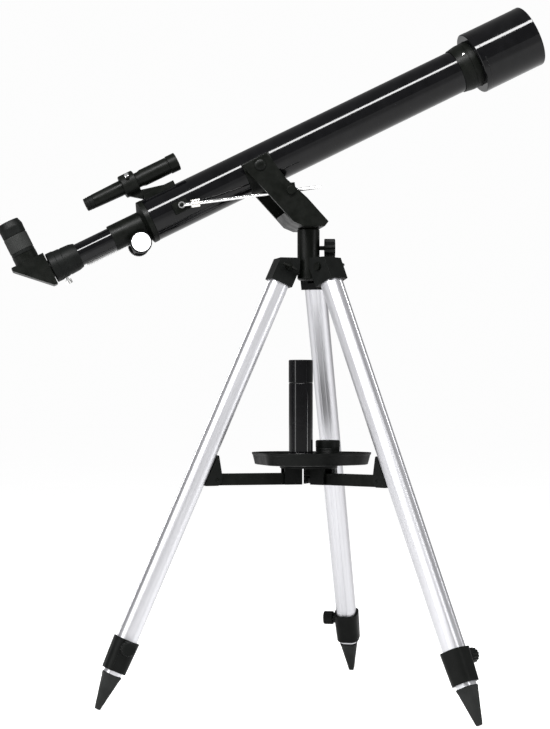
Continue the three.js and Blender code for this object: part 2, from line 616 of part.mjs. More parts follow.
function legTube() {
  const bore = roundedRectangle(INNER_LEG.wide + 1, INNER_LEG.deep + 1, INNER_LEG.corner);
  const outside = prism(roundedRectangle(LEG.wide, LEG.deep, LEG.corner), -LEG_END, -LEG.top);
  const inside = prism(bore, -LEG_END - 1, -LEG.top + 1);
  const grooves = [-1, 1].map((side) => {
    const x = (side * LEG.deep) / 2;
    return block([x - 0.7, -LEG.groove / 2, -LEG_END - 1], [x + 0.7, LEG.groove / 2, -LEG.top + 1]);
  });
  return cut(outside, inside, ...grooves);
}

function legCollar() {
  const { wide, deep, corner, taper } = LEG_COLLAR;
  const straight = prism(roundedRectangle(wide, deep, corner), -COLLAR_BOTTOM, -COLLAR_TOP);
  const outside = tapered(straight, -COLLAR_TOP, -COLLAR_BOTTOM, taper);
  const boss = cylinder('y', 7.5, 8, wide / 2 + 2, 20).translate(0, 0, -LOCK_AT);
  const legHole = roundedRectangle(LEG.wide + 2 * GAP, LEG.deep + 2 * GAP, LEG.corner);
  const innerHole = roundedRectangle(INNER_LEG.wide + 0.8, INNER_LEG.deep + 0.8, INNER_LEG.corner);
  const legWay = prism(legHole, -LEG_END - GAP, -COLLAR_TOP + 1);
  const innerWay = prism(innerHole, -COLLAR_BOTTOM - 1, -COLLAR_TOP);
  const screwWay = cylinder('y', 3, 10, 30).translate(0, 0, -LOCK_AT);
  return cut(join(outside, boss), legWay, innerWay, screwWay);
}

function legLockScrew() {
  const start = LEG.wide / 2 + 2 * GAP;
  const reach = LEG_COLLAR.wide / 2 + 2.5 - start;
  return thumbscrew(2.7, reach, 10, 15, 12).rotateZ(Math.PI / 2).translate(0, start, -LOCK_AT);
}

// The sliding inner leg with its pointed plastic foot.
function lowerLeg() {
  const { wide, deep, corner, wall, length } = INNER_LEG;
  const inside = roundedRectangle(wide - 2 * wall, deep - 2 * wall, corner - wall);
  const bar = prism(roundedRectangle(wide, deep, corner), -FOOT_TOP - 2, -FOOT_TOP + length);
  const hollow = prism(inside, -FOOT_TOP + 1, -FOOT_TOP + length + 1);
  const blunt = prism(roundedRectangle(wide + 1, deep + 3, corner), -LEG_LENGTH, -FOOT_TOP);
  const foot = tapered(blunt, -FOOT_TOP, -LEG_LENGTH, 0.3);
  return join(foot, cut(bar, hollow));
}

// ---- braces ----------------------------------------------------------------------------------

const PIN_FRAME = braceFromLeg();

// The brace's pin, at BRACE.z and BRACE.fromLeg inside the leg's middle line.
function braceFromLeg() {
  const up = (BRACE.z - HINGE.z + BRACE.fromLeg * SIN_TILT) / COS_TILT;
  return { out: -BRACE.fromLeg, up, r: HINGE.r - BRACE.fromLeg * COS_TILT - up * SIN_TILT };
}

function braceBracket() {
  const face = -LEG.deep / 2 - GAP;
  const back = face - 2.2;
  const { out, up } = PIN_FRAME;
  const ear = [[face, up + 31], [back, up + 31], [out - 5, up + 7], [out - 7, up], [out - 5, up - 7],
    [back, up - 14], [face, up - 14]];
  const ears = plate(ear, -10, 10);
  const gap = block([out - 20, -7, up - 60], [back, 7, up + 60]);
  const pinHole = cylinder('y', 2.2, -20, 20, 16).translate(out, 0, up);
  return cut(ears, gap, pinHole);
}

// A channel, open below, with round ends and stub pins in the bracket's ears.
function braceArm() {
  const [inner, outer] = [BRACE.hubRadius, PIN_FRAME.r];
  const shape = new THREE.Shape();
  shape.absarc(outer, BRACE.z, BRACE.half, -Math.PI / 2, Math.PI / 2);
  shape.absarc(inner, BRACE.z, BRACE.half, Math.PI / 2, 1.5 * Math.PI);
  const bar = plateOf(shape, -BRACE.width / 2, BRACE.width / 2);
  const wall = 1.6;
  const channel = block([inner + 4, -BRACE.width / 2 + wall, BRACE.z - BRACE.half - 1],
    [outer - 8, BRACE.width / 2 - wall, BRACE.z + BRACE.half - wall]);
  const pins = cylinder('y', 1.9, -9.5, 9.5, 14).translate(outer, 0, BRACE.z);
  return join(cut(bar, channel), pins);
}

LEG_DIRECTIONS.forEach((direction, index) => {
  const upright = new THREE.Group();
  upright.rotation.z = direction;
  telescope.add(upright);
  const leg = new THREE.Group();
  leg.position.set(HINGE.r, 0, HINGE.z);
  leg.rotation.y = -LEG_TILT;
  upright.add(leg);
  const number = index + 1;
  piece(`leg_cap_${number}`, legCap(), BLACK_PLASTIC, leg);
  piece(`hinge_bolt_${number}`, hingeBolt(), SATIN_BLACK, leg);
  piece(`leg_tube_${number}`, legTube(), ALUMINIUM, leg);
  piece(`leg_collar_${number}`, legCollar(), BLACK_PLASTIC, leg);
  piece(`leg_lock_screw_${number}`, legLockScrew(), BLACK_PLASTIC, leg);
  piece(`lower_leg_${number}`, lowerLeg(), RUBBER, leg);
  piece(`brace_bracket_${number}`, braceBracket(), BLACK_PLASTIC, leg);
  piece(`brace_arm_${number}`, braceArm(), SATIN_BLACK, upright);
});

// ---- spreader hub, tray and what stands on it ------------------------------------------------

function spreaderHub() {
  const disc = cylinder('z', HUB.radius, HUB.plateBottom, HUB.top, 48);
  const cheeks = LEG_DIRECTIONS.flatMap((direction) => [-1, 1].map((side) => {
    const [y0, y1] = [side * 7, side * 10].sort((a, b) => a - b);
    return block([12, y0, HUB.bottom], [HUB.radius - 3, y1, HUB.plateBottom + 1]).rotateZ(direction);
  }));
  return cut(join(disc, ...cheeks), cylinder('z', 3.3, HUB.bottom, HUB.top + 1));
}

// The tray's outline: a triangle with wide round corners that point between the legs.
function trayShape(inset) {
  const shape = new THREE.Shape();
  for (const direction of LEG_DIRECTIONS) {
    const corner = direction + Math.PI / 3;
    const [x, y] = [TRAY.corner * Math.cos(corner), TRAY.corner * Math.sin(corner)];
    shape.absarc(x, y, TRAY.round - inset, corner - Math.PI / 3, corner + Math.PI / 3);
  }
  return shape;
}

function tray() {
  const { bottom, top, wall, floor, taper } = TRAY;
  const outside = tapered(prism(trayShape(0), bottom, top, 10), top, bottom, taper);
  const hollow = tapered(prism(trayShape(wall), bottom + floor, top + 1, 10), top + 1, bottom + floor, taper);
  return cut(outside, hollow, cylinder('z', 3.3, bottom - 1, bottom + floor + 1));
}

function trayScrew() {
  const [neck, tip] = [HUB.plateBottom - GAP, TRAY.bottom + TRAY.floor - 0.5];
  const head = gripKnob(6.5, 0, 10, 10, 0.8).rotateY(-Math.PI / 2).translate(0, 0, neck - 10);
  return join(cylinder('z', 3, neck - 1, tip), head);
}

const TRAY_FLOOR = TRAY.bottom + TRAY.floor + GAP;

// An erecting eyepiece, stood on end: a long tube with a socket in its top.
function erector() {
  const { x, y, radius, top } = ERECTOR;
  return turnedUpright([[TRAY_FLOOR, 0], [TRAY_FLOOR, radius - 0.8], [TRAY_FLOOR + 0.8, radius], [top - 0.8, radius],
    [top, radius - 0.8], [top, 12.6], [top - 26, 12.6], [top - 26, 0]], 28).translate(x, y, 0);
}

// A short eyepiece standing on its barrel, with its eye lens recessed in the top.
function spareEyepiece() {
  const { x, y, barrel, barrelTop, radius, top } = SPARE;
  const eye = 9;
  return turnedUpright([[TRAY_FLOOR, 0], [TRAY_FLOOR, barrel], [barrelTop, barrel], [barrelTop + 1, radius],
    [top - 1.5, radius], [top, radius - 1.5], [top, eye], [top - 5, eye - 2], [top - 5, 0]], 32).translate(x, y, 0);
}

piece('spreader_hub', spreaderHub(), BLACK_PLASTIC, telescope);
piece('tray', tray(), BLACK_PLASTIC, telescope);
piece('tray_screw', trayScrew(), BLACK_PLASTIC, telescope);
piece('erecting_eyepiece', erector(), GLOSS_BLACK, telescope);
piece('spare_eyepiece', spareEyepiece(), BLACK_PLASTIC, telescope);

// ---- the origin is the middle of the whole object's footprint, at floor level -----------------

telescope.updateMatrixWorld(true);
const box = new THREE.Box3().setFromObject(telescope, true);
telescope.position.set(-(box.min.x + box.max.x) / 2, -(box.min.y + box.max.y) / 2, -box.min.z);
const whole = new THREE.Group();
whole.add(telescope);

export default whole;
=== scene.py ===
"""A small black refracting telescope on a fork mount and an aluminium tripod, dressed for rendering."""
import json
import math
import bmesh
import bpy
from mathutils import Matrix, Vector


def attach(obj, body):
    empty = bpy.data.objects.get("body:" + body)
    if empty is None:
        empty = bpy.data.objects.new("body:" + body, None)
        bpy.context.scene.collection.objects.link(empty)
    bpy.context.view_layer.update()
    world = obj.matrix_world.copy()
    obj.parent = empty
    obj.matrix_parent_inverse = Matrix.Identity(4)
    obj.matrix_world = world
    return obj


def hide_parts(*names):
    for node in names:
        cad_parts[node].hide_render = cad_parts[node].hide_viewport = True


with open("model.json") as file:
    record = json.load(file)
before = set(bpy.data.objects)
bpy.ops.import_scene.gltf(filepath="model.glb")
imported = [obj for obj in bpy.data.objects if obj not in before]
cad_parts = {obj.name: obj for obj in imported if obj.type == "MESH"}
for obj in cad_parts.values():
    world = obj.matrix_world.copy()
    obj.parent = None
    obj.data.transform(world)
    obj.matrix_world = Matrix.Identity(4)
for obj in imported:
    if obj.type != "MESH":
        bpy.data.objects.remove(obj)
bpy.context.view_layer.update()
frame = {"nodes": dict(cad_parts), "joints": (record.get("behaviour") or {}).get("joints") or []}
JOINTS = {joint["name"]: joint for joint in frame["joints"]}

# ---- sizes in millimetres, as in the solid model ----------------------------------------------

MM = 0.001
TUBE_ELEVATION = math.radians(26.65)
PIVOT = (-74, 0, 734)
LEG_DIRECTIONS = [math.radians(angle) for angle in (-172, -52, 68)]
HINGE_R = 33.7
HINGE_Z = 597
FOOT_CIRCLE = 296
LEG_TILT = math.atan2(FOOT_CIRCLE - HINGE_R, HINGE_Z)
LEG_LENGTH = HINGE_Z / math.cos(LEG_TILT)
LEG_WIDE, LEG_DEEP, LEG_CORNER, LEG_TOP = 29, 27, 10, 17.3
INNER_WIDE, INNER_DEEP, INNER_CORNER, INNER_LENGTH = 25, 23, 8, 390
FOOT_TOP = LEG_LENGTH - 50.6
COLLAR_BOTTOM = FOOT_TOP - 4.6
COLLAR_TOP = COLLAR_BOTTOM - 44.7
LEG_END = COLLAR_BOTTOM - 16
LOCK_AT = COLLAR_TOP + 10
GEAR_ALONG, GEAR_HEIGHT = -191, -23
ERECTOR = (-12.5, -10.5)
SPARE = (28, 6)
TRAY_BOTTOM, TRAY_TOP, TRAY_CORNER, TRAY_ROUND, TRAY_TAPER = 324, 341, 34, 55, 0.95
FINDER_HEIGHT = 57
EYEPIECE_ALONG = -339
TUBE_BACK, TUBE_FRONT, TUBE_BORE, TUBE_R = -164, 342, 28.6, 30
DRAW_BACK, DRAW_FRONT, DRAW_BORE, DRAW_R = -281, -112, 14.15, 15.75
LENS_BACK, LENS_EDGE, LENS_CROWN, LENS_R = 344.5, 349.0, 1.4, 29.1
CELL_SCREWS, CELL_SCREW_ALONG, CELL_SCREW_OUT = 3, 331, 33.0
KNOB_INNER, KNOB_OUTER, KNOB_R, KNOB_RIBS = 19, 29.4, 15, 36
GRIP_START, GRIP_END, GRIP_R, GRIP_BASE, GRIP_RIBS, GRIP_DEPTH = 39, 61, 16.8, 15.95, 44, 0.35
INNER_WALL = 1.4
LOCK_SHANK_R, LOCK_SHANK_END = 2.7, 21.5
EDGE_ANGLE = math.radians(32)

# ---- frames: row frame from the altitude pivot, which the record places ------------------------

SHIFT = Vector(JOINTS["altitude_tilt"]["pos_m"]) - Vector(PIVOT) * MM
UPRIGHT = Matrix.Translation(SHIFT)
TUBE = UPRIGHT @ Matrix.Translation(Vector(PIVOT) * MM) @ Matrix.Rotation(-TUBE_ELEVATION, 4, "Y")
ALONG_Z = Matrix.Rotation(math.radians(-90), 4, "Y")
FINDER = TUBE @ Matrix.Translation((0, 0, FINDER_HEIGHT * MM))
EYEPIECE = TUBE @ Matrix.Translation((EYEPIECE_ALONG * MM, 0, 0)) @ ALONG_Z


def leg_frame(direction):
    """X outward, Y sideways and Z up the leaning leg, from its hinge."""
    turn = Matrix.Rotation(direction, 4, "Z")
    place = Matrix.Translation((HINGE_R * MM, 0, HINGE_Z * MM))
    return UPRIGHT @ turn @ place @ Matrix.Rotation(-LEG_TILT, 4, "Y")


# ---- materials ---------------------------------------------------------------------------------


class Recipe:
    """Builds one node material on a Principled shader, with object coordinates."""

    def __init__(self, name, color, roughness, metallic=0.0):
        self.material = bpy.data.materials.new(name)
        self.material.use_nodes = True
        self.nodes = self.material.node_tree.nodes
        self.links = self.material.node_tree.links
        self.shader = self.nodes["Principled BSDF"]
        self.shader.inputs["Base Color"].default_value = (*color, 1)
        self.shader.inputs["Roughness"].default_value = roughness
        self.shader.inputs["Metallic"].default_value = metallic
        self.coords = self.nodes.new("ShaderNodeTexCoord").outputs["Object"]
        self.normal = None

    def set(self, **values):
        for name, value in values.items():
            self.shader.inputs[name.replace("_", " ")].default_value = value
        return self

    def noise(self, scale, detail=4.0, stretch=(1, 1, 1), roughness=0.55):
        mapping = self.nodes.new("ShaderNodeMapping")
        mapping.inputs["Scale"].default_value = stretch
        self.links.new(self.coords, mapping.inputs["Vector"])
        noise = self.nodes.new("ShaderNodeTexNoise")
        noise.inputs["Scale"].default_value = scale
        noise.inputs["Detail"].default_value = detail
        noise.inputs["Roughness"].default_value = roughness
        self.links.new(mapping.outputs["Vector"], noise.inputs["Vector"])
        return noise.outputs["Fac"]

    def cells(self, scale):
        voronoi = self.nodes.new("ShaderNodeTexVoronoi")
        voronoi.inputs["Scale"].default_value = scale
        self.links.new(self.coords, voronoi.inputs["Vector"])
        return voronoi.outputs["Distance"]

    def spread(self, source, low, high, start=0.3, end=0.7):
        ranged = self.nodes.new("ShaderNodeMapRange")
        ranged.inputs["From Min"].default_value = start
        ranged.inputs["From Max"].default_value = end
        ranged.inputs["To Min"].default_value = low
        ranged.inputs["To Max"].default_value = high
        self.links.new(source, ranged.inputs["Value"])
        return ranged.outputs["Result"]

    def rough(self, source, low, high):
        self.links.new(self.spread(source, low, high), self.shader.inputs["Roughness"])
        return self

    def tint(self, source, dark, light):
        mix = self.nodes.new("ShaderNodeMix")
        mix.data_type = "RGBA"
        mix.inputs["A"].default_value = (*dark, 1)
        mix.inputs["B"].default_value = (*light, 1)
        self.links.new(self.spread(source, 0, 1), mix.inputs["Factor"])
        self.links.new(mix.outputs["Result"], self.shader.inputs["Base Color"])
        return self

    def bump(self, source, height, strength=1.0):
        """height is the relief's depth in metres."""
        bump = self.nodes.new("ShaderNodeBump")
        bump.inputs["Strength"].default_value = strength
        bump.inputs["Distance"].default_value = height
        self.links.new(source, bump.inputs["Height"])
        if self.normal is not None:
            self.links.new(self.normal, bump.inputs["Normal"])
        self.normal = bump.outputs["Normal"]
        self.links.new(self.normal, self.shader.inputs["Normal"])
        return self


def gloss_black_paint():
    paint = Recipe("gloss black paint", (0.003, 0.003, 0.0035), 0.12)
    paint.set(Specular_IOR_Level=0.2)
    paint.rough(paint.noise(22, 5), 0.06, 0.12)
    paint.tint(paint.noise(60, 6), (0.0008, 0.0008, 0.001), (0.002, 0.002, 0.0023))
    paint.bump(paint.noise(160, 2), 0.00003)
    return paint.material


def satin_black_paint():
    paint = Recipe("satin black paint", (0.004, 0.0045, 0.0038), 0.4)
    paint.set(Specular_IOR_Level=0.08)
    paint.rough(paint.noise(45, 5), 0.3, 0.5)
    paint.tint(paint.noise(90, 6), (0.001, 0.0013, 0.0009), (0.0022, 0.0026, 0.002))
    paint.bump(paint.noise(900, 3), 0.00008)
    return paint.material


def moulded_plastic():
    plastic = Recipe("moulded black plastic", (0.006, 0.0065, 0.006), 0.5)
    plastic.set(Specular_IOR_Level=0.08)
    plastic.rough(plastic.noise(50, 4), 0.4, 0.6)
    plastic.tint(plastic.noise(70, 5), (0.001, 0.0013, 0.0011), (0.0024, 0.0028, 0.0025))
    plastic.bump(plastic.cells(1400), 0.00006, 0.7)
    return plastic.material


def foot_rubber():
    rubber = Recipe("grey-black foot rubber", (0.008, 0.009, 0.0086), 0.68)
    rubber.set(Specular_IOR_Level=0.2)
    rubber.rough(rubber.noise(60, 5), 0.58, 0.82)
    rubber.tint(rubber.noise(40, 6), (0.003, 0.0035, 0.0032), (0.006, 0.0068, 0.0065))
    rubber.bump(rubber.noise(700, 4), 0.00012)
    return rubber.material


def grip_rubber():
    rubber = Recipe("eyepiece grip rubber", (0.007, 0.0075, 0.007), 0.7)
    rubber.set(Specular_IOR_Level=0.25)
    rubber.rough(rubber.noise(80, 4), 0.6, 0.8)
    rubber.tint(rubber.noise(50, 5), (0.0025, 0.003, 0.0025), (0.005, 0.0056, 0.005))
    rubber.bump(rubber.noise(1500, 2), 0.00008)
    return rubber.material


def brushed_aluminium():
    metal = Recipe("brushed aluminium", (0.5, 0.5, 0.52), 0.42, 1.0)
    streaks = metal.noise(420, 5, (1, 1, 0.012), 0.7)
    metal.rough(streaks, 0.36, 0.5)
    metal.tint(metal.noise(160, 4, (1, 1, 0.02)), (0.44, 0.44, 0.458), (0.53, 0.53, 0.55))
    metal.bump(streaks, 0.00002)
    metal.bump(metal.noise(14, 4), 0.00006)
    return metal.material


def polished_chrome():
    metal = Recipe("polished chrome", (0.86, 0.86, 0.86), 0.08, 1.0)
    metal.rough(metal.noise(60, 5), 0.05, 0.18)
    metal.tint(metal.noise(30, 4), (0.80, 0.80, 0.80), (0.90, 0.90, 0.89))
    metal.bump(metal.noise(260, 3), 0.00002)
    return metal.material


def nickel_plate():
    metal = Recipe("nickel plate", (0.80, 0.78, 0.73), 0.2, 1.0)
    metal.rough(metal.noise(120, 5), 0.14, 0.34)
    metal.tint(metal.noise(60, 5), (0.70, 0.68, 0.62), (0.86, 0.84, 0.79))
    metal.bump(metal.noise(600, 3), 0.00003)
    return metal.material


def spun_aluminium():
    metal = Recipe("spun aluminium", (0.7, 0.7, 0.71), 0.5, 0.7)
    metal.rough(metal.noise(90, 5), 0.42, 0.58)
    metal.tint(metal.noise(60, 5), (0.64, 0.64, 0.65), (0.74, 0.74, 0.75))
    metal.bump(metal.noise(500, 3), 0.00003)
    return metal.material


def turned_brass():
    metal = Recipe("turned brass", (0.72, 0.52, 0.24), 0.25, 1.0)
    metal.rough(metal.noise(140, 5), 0.2, 0.4)
    metal.tint(metal.noise(50, 5), (0.58, 0.40, 0.17), (0.78, 0.58, 0.28))
    metal.bump(metal.noise(700, 3), 0.00003)
    return metal.material


def coated_glass():
    glass = Recipe("coated lens glass", (0.86, 0.93, 1.0), 0.02)
    glass.set(Transmission_Weight=0.85, IOR=1.52, Coat_Weight=0.6, Coat_Roughness=0.02)
    glass.shader.inputs["Coat Tint"].default_value = (0.55, 0.62, 1.0, 1)
    glass.rough(glass.noise(40, 3), 0.01, 0.05)
    glass.bump(glass.noise(20, 2), 0.00001)
    return glass.material


GLOSS = gloss_black_paint()
SATIN = satin_black_paint()
PLASTIC = moulded_plastic()
FOOT = foot_rubber()
GRIP = grip_rubber()
BRUSHED = brushed_aluminium()
CHROME = polished_chrome()
NICKEL = nickel_plate()
SPUN = spun_aluminium()
BRASS = turned_brass()
GLASS = coated_glass()

# ---- mesh tools --------------------------------------------------------------------------------


def soften(obj, width):
    """Rounds the sharp edges a little and keeps flat faces flat under smooth shading."""
    obj.data.polygons.foreach_set("use_smooth", [True] * len(obj.data.polygons))
    weld = obj.modifiers.new("weld", "WELD")
    weld.merge_threshold = 1e-6
    bevel = obj.modifiers.new("edges", "BEVEL")
    bevel.width = width * MM
    bevel.segments = 2
    bevel.limit_method = "ANGLE"
    bevel.angle_limit = EDGE_ANGLE
    normals = obj.modifiers.new("normals", "WEIGHTED_NORMAL")
    normals.weight = 100


def dress(node, material, width=0.3):
    """Keeps a CAD node's shape, rounds its edges and gives it a material."""
    obj = frame["nodes"][node]
    obj.data.materials.clear()
    obj.data.materials.append(material)
    soften(obj, width)


def piece(name, points, faces, place, body, material, nodes=(), width=0.3):
    """A new mesh piece. points are in millimetres in the frame `place`."""
    mesh = bpy.data.meshes.new(name)
    mesh.from_pydata([Vector(p) * MM for p in points], [], faces)
    shape = bmesh.new()
    shape.from_mesh(mesh)
    bmesh.ops.recalc_face_normals(shape, faces=shape.faces)
    shape.to_mesh(mesh)
    shape.free()
    mesh.materials.append(material)
    obj = bpy.data.objects.new(name, mesh)
    bpy.context.scene.collection.objects.link(obj)
    obj.matrix_world = place
    soften(obj, width)
    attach(obj, body)
    if nodes:
        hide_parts(*nodes)


def skin(loops, closed):
    """Joins loops of equal length by quads. An open stack gets a face at each end."""
    points = [point for loop in loops for point in loop]
    count = len(loops[0])
    faces = []
    for row in range(len(loops) if closed else len(loops) - 1):
        low = row * count
        high = (row + 1) % len(loops) * count
        for i in range(count):
            j = (i + 1) % count
            faces.append((low + i, low + j, high + j, high + i))
    if not closed:
        faces.append(tuple(range(count)))
        faces.append(tuple((len(loops) - 1) * count + i for i in range(count)))
    return points, faces


def circle(x, radius, segments):
    angles = [2 * math.pi * i / segments for i in range(segments)]
    return [(x, radius * math.cos(a), radius * math.sin(a)) for a in angles]


def turned(name, profile, place, body, material, nodes=(), width=0.3, segments=96):
    """A solid of revolution about X from [x, radius] points. A solid starts and ends on the axis."""
    solid = profile[0][1] == 0
    rings = profile[1:-1] if solid else profile
    loops = [circle(x, radius, segments) for x, radius in rings]
    points, faces = skin(loops, not solid)
    piece(name, points, faces, place, body, material, nodes, width)


def pipe(back, front, bore, radius, edge):
    """The outline of a plain tube along X, with its outer edges broken."""
    return [(back, bore), (back, radius - edge), (back + 0.4, radius),
            (front - 0.4, radius), (front, radius - edge), (front, bore)]


def ribbed(name, x0, x1, radius, ribs, depth, place, body, material, nodes=(), width=0.25, rim=0.8):
    """A knob about X with rounded ribs round its rim and a narrower edge at each end."""
    steps = 6
    loops = []
    for x, inset in ((x0, rim), (x0 + rim, 0), (x1 - rim, 0), (x1, rim)):
        loop = []
        for i in range(ribs * steps):
            angle = 2 * math.pi * i / (ribs * steps)
            wave = 0.5 - 0.5 * math.cos(ribs * angle)
            r = radius - inset - depth * wave ** 2
            loop.append((x, r * math.cos(angle), r * math.sin(angle)))
        loops.append(loop)
    points, faces = skin(loops, False)
    piece(name, points, faces, place, body, material, nodes, width)


def rounded_outline(wide, deep, corner, groove=0.0, depth=0.0, steps=8):
    """A rounded rectangle in XY with a groove down the middle of the two faces across X."""
    points = []
    x, y = deep / 2, wide / 2
    for quarter, (sx, sy) in enumerate(((1, 1), (-1, 1), (-1, -1), (1, -1))):
        for i in range(steps + 1):
            angle = math.pi / 2 * (quarter + i / steps)
            px = sx * (x - corner) + corner * math.cos(angle)
            py = sy * (y - corner) + corner * math.sin(angle)
            points.append((px, py))
        if quarter in (1, 3) and groove:
            side = -1 if quarter == 1 else 1
            half = groove / 2
            for py, inset in ((half, 0), (half - 0.5, depth), (0.5 - half, depth), (-half, 0)):
                points.append((side * (x - inset), -side * py))
    return points


def at_height(outline, z, share=1.0):
    return [(x * share, y * share, z) for x, y in outline]


def dome(name, place, body, material, radius, height):
    """A low screw head about X, standing on its own origin."""
    profile = [(0, 0), (0, radius)]
    profile += [(height * math.sin(t), radius * math.cos(t)) for t in (0.5, 0.9, 1.25)]
    profile.append((height, 0))
    turned(name, profile, place, body, material, (), 0.1, 32)


# ---- optical tube ------------------------------------------------------------------------------


def optical_tube():
    body = "optical_tube"
    tube = pipe(TUBE_BACK, TUBE_FRONT, TUBE_BORE, TUBE_R, 0.3)
    turned("main_tube_shell", tube, TUBE, body, GLOSS, ["main_tube"], 0.15, 128)
    cell = [(318, 30.3), (318, 31.2), (320, 31.5), (331, 33.3), (335, 33.3), (335.5, 32.7), (336.5, 32.7),
            (337, 33.4), (352, 33.4), (352, 29.5), (344, 29.5), (344, 27.5), (342.3, 27.5), (342.3, 30.3)]
    turned("objective_cell_ring", cell, TUBE, body, SATIN, ["objective_cell"], 0.25, 128)
    lens = [(LENS_BACK, 0), (LENS_BACK, LENS_R), (LENS_EDGE, LENS_R)]
    lens += [(LENS_EDGE + LENS_CROWN * (1 - s * s), LENS_R * s) for s in (0.85, 0.65, 0.45, 0.25, 0.1)]
    lens.append((LENS_EDGE + LENS_CROWN, 0))
    turned("objective_glass", lens, TUBE, body, GLASS, ["objective_lens"], 0.1)
    shield = [(345, 33.9), (345, 43), (346, 44), (352.5, 44), (353, 43.5), (354, 43.5), (354.5, 43.8),
              (431, 43.8), (431.5, 44), (437.4, 44), (438, 43.5), (438, 42.4), (437.4, 42.2),
              (348, 42.2), (348, 33.9)]
    turned("dew_shield_shell", shield, TUBE, body, GLOSS, ["dew_shield"], 0.15, 128)
    dress("focuser_body", SATIN, 0.5)
    dress("tube_saddle", SATIN, 0.6)
    dress("rod_bracket", SATIN, 0.5)
    for i in range(CELL_SCREWS):
        angle = math.radians(60 + 120 * i)
        turn = Matrix.Rotation(angle, 4, "X")
        spot = Matrix.Translation((CELL_SCREW_ALONG * MM, 0, CELL_SCREW_OUT * MM)) @ ALONG_Z
        dome(f"cell_screw_head_{i + 1}", TUBE @ turn @ spot, body, NICKEL, radius=1.9, height=0.45)


def focuser():
    tube = pipe(DRAW_BACK, DRAW_FRONT, DRAW_BORE, DRAW_R, 0.15)
    turned("drawtube_shell", tube, TUBE, "focuser", GLOSS, ["drawtube"], 0.12)
    dress("focus_rack", CHROME, 0.1)
    ring = [(-273, 16.05), (-273, 17.2), (-274, 17.6), (-280, 19.2), (-292, 19.8), (-293, 19.3),
            (-294.5, 19.3), (-295.5, 20), (-304, 20.3), (-304.6, 21), (-313.4, 21), (-314, 20.4),
            (-314, 12.5), (-281.3, 12.5), (-281.3, 16.05)]
    turned("drawtube_collar_ring", ring, TUBE, "focuser", PLASTIC, ["drawtube_collar"], 0.25)
    dress("collar_screw", CHROME, 0.2)
    dress("focus_pinion", BRASS, 0.08)
    for side, node in ((-1, "focus_knob_right"), (1, "focus_knob_left")):
        place = TUBE @ Matrix.Translation((GEAR_ALONG * MM, 0, GEAR_HEIGHT * MM))
        place = place @ Matrix.Rotation(side * math.pi / 2, 4, "Z")
        ribbed(node + "_rim", KNOB_INNER, KNOB_OUTER, KNOB_R, KNOB_RIBS, 0.7,
               place, "pinion", PLASTIC, [node])
        cap = [(29.5, 0), (29.5, 13), (30.2, 13), (30.7, 12.2), (30.4, 11.4), (30.7, 10.5), (31, 0)]
        turned(node + "_cap", cap, place, "pinion", SPUN, [], 0.1)


# ---- diagonal and eyepiece ---------------------------------------------------------------------


def diagonal_and_eyepiece():
    dress("diagonal_housing", SATIN, 0.9)
    dress("diagonal_prism", GLASS, 0.2)
    barrel = [(22, 9), (22, 12), (22.2, 12.2), (34.3, 12.2), (34.3, 16.2), (35, 16.6), (38, 16.6),
              (38.5, 15.9), (61.5, 15.9), (62, 16.6), (70, 16.6), (71, 16.9), (74, 16.9), (82, 14.2),
              (82, 8.2), (76, 7.2), (76, 9)]
    turned("eyepiece_body", barrel, EYEPIECE, "eyepiece", PLASTIC, ["eyepiece"], 0.3)
    count = GRIP_RIBS * 4
    ends = ((GRIP_START, 0.5), (GRIP_START + 0.6, 0), (GRIP_END - 0.6, 0), (GRIP_END, 0.5))
    loops = []
    for x, inset in ends:
        loop = []
        for i in range(count):
            angle = 2 * math.pi * i / count
            r = GRIP_R - inset - GRIP_DEPTH * (1 - math.cos(GRIP_RIBS * angle)) / 2
            loop.append((x, r * math.cos(angle), r * math.sin(angle)))
        loops.append(loop)
    loops += [circle(x, GRIP_BASE, count) for x in (GRIP_END, GRIP_START)]
    points, faces = skin(loops, True)
    piece("eyepiece_grip", points, faces, EYEPIECE, "eyepiece", GRIP, [], 0.1)
    dress("eyepiece_lens", GLASS, 0.2)


# ---- finder ------------------------------------------------------------------------------------


def finder():
    tube = [(-222, 8), (-222, 9.4), (-221.6, 9.6), (-182, 10.6), (-151, 10.6), (-147, 11.8),
            (-109, 11.8), (-108.4, 11.4), (-107.6, 11.4), (-107, 12.6), (-94.4, 12.7), (-94, 12.4),
            (-94, 11.2), (-102, 11.2), (-102, 8)]
    turned("finder_tube_shell", tube, FINDER, "optical_tube", SATIN, ["finder_tube"], 0.15)
    dress("finder_lens", GLASS, 0.2)
    dress("finder_bracket", SATIN, 0.5)
    dress("finder_screw", CHROME, 0.2)
    cup = [(-234, 4), (-234, 8.4), (-233.4, 9), (-232, 9.2), (-231.6, 8.8), (-231, 8.8), (-230.6, 9.3),
           (-229, 9.3), (-228.6, 8.9), (-228, 8.9), (-227.6, 9.4), (-222.3, 9.4), (-222.3, 7.7),
           (-212, 7.7), (-212, 4)]
    turned("finder_eyepiece_shell", cup, FINDER, "finder_eyepiece", PLASTIC, ["finder_eyepiece"], 0.15)


# ---- fork mount and slow motion ----------------------------------------------------------------


def mount():
    dress("yoke", SATIN, 1.6)
    dress("pivot_screw_right", SATIN, 0.5)
    dress("pivot_screw_left", SATIN, 0.5)
    dress("rod_clamp", SATIN, 0.6)
    dress("altitude_rod", CHROME, 0.15)
    dress("slow_motion_nut", NICKEL, 0.3)
    dress("azimuth_knob", PLASTIC, 0.6)
    dress("tripod_head", SATIN, 0.8)


# ---- legs --------------------------------------------------------------------------------------


